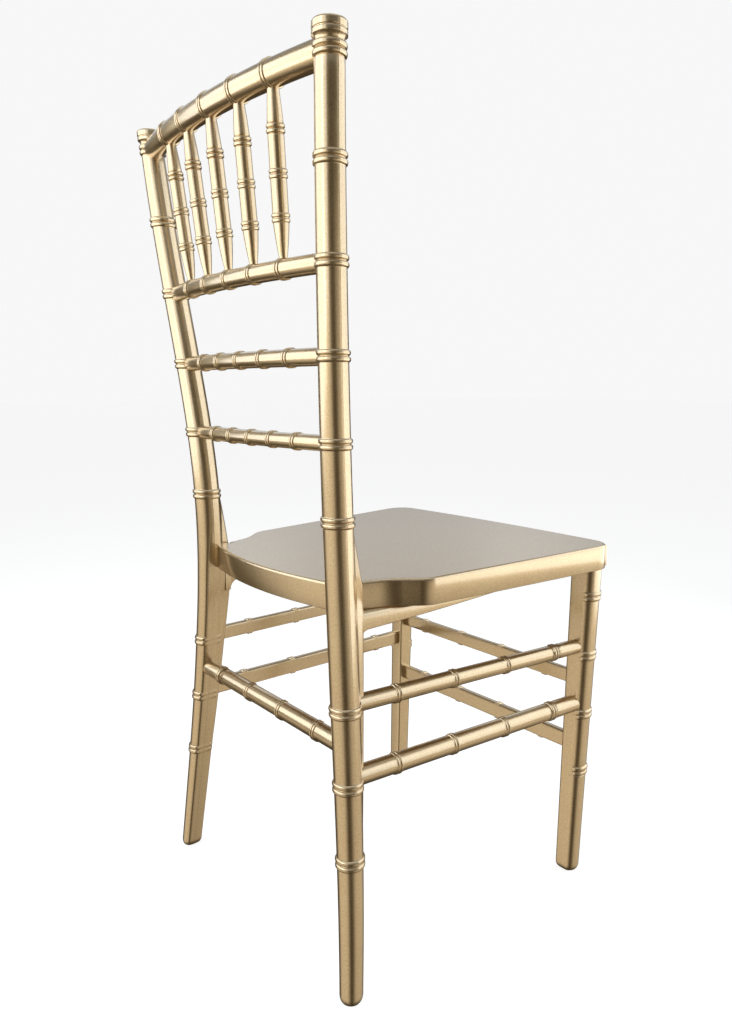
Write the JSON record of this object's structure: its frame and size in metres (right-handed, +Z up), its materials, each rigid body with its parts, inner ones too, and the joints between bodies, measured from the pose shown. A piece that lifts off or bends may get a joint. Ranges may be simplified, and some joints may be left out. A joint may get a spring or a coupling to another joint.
{
  "type": "ballroom chair",
  "caption": "Rigid resin ballroom chair with bamboo-turned posts, bowed back rails, tapered spindles, ringed legs and stretchers and a flat moulded seat.",
  "frame": {"origin": "on the floor, at the bottom centre of the bounding box", "axes": "+Z up; the chair faces -Y, so the back is at +Y; the sitter's right hand is at -X"},
  "size_m": [0.3982, 0.4384, 0.907],
  "materials": {
    "gold_resin": "satin-gloss champagne-gold metallic"
  },
  "bodies": {
    "root": {"crest_rail": "gold_resin", "front_lower_stretcher": "gold_resin", "front_upper_stretcher": "gold_resin", "left_front_leg": "gold_resin", "left_lower_side_stretcher": "gold_resin", "left_rear_post": "gold_resin", "left_side_brace": "gold_resin", "left_upper_side_stretcher": "gold_resin", "lower_rail": "gold_resin", "middle_rail": "gold_resin", "rear_stretcher": "gold_resin", "right_front_leg": "gold_resin", "right_lower_side_stretcher": "gold_resin", "right_rear_post": "gold_resin", "right_side_brace": "gold_resin", "right_upper_side_stretcher": "gold_resin", "seat": "gold_resin", "spindle_1": "gold_resin", "spindle_2": "gold_resin", "spindle_3": "gold_resin", "spindle_4": "gold_resin", "spindle_5": "gold_resin", "spindle_rail": "gold_resin"}
  },
  "joints": []
}
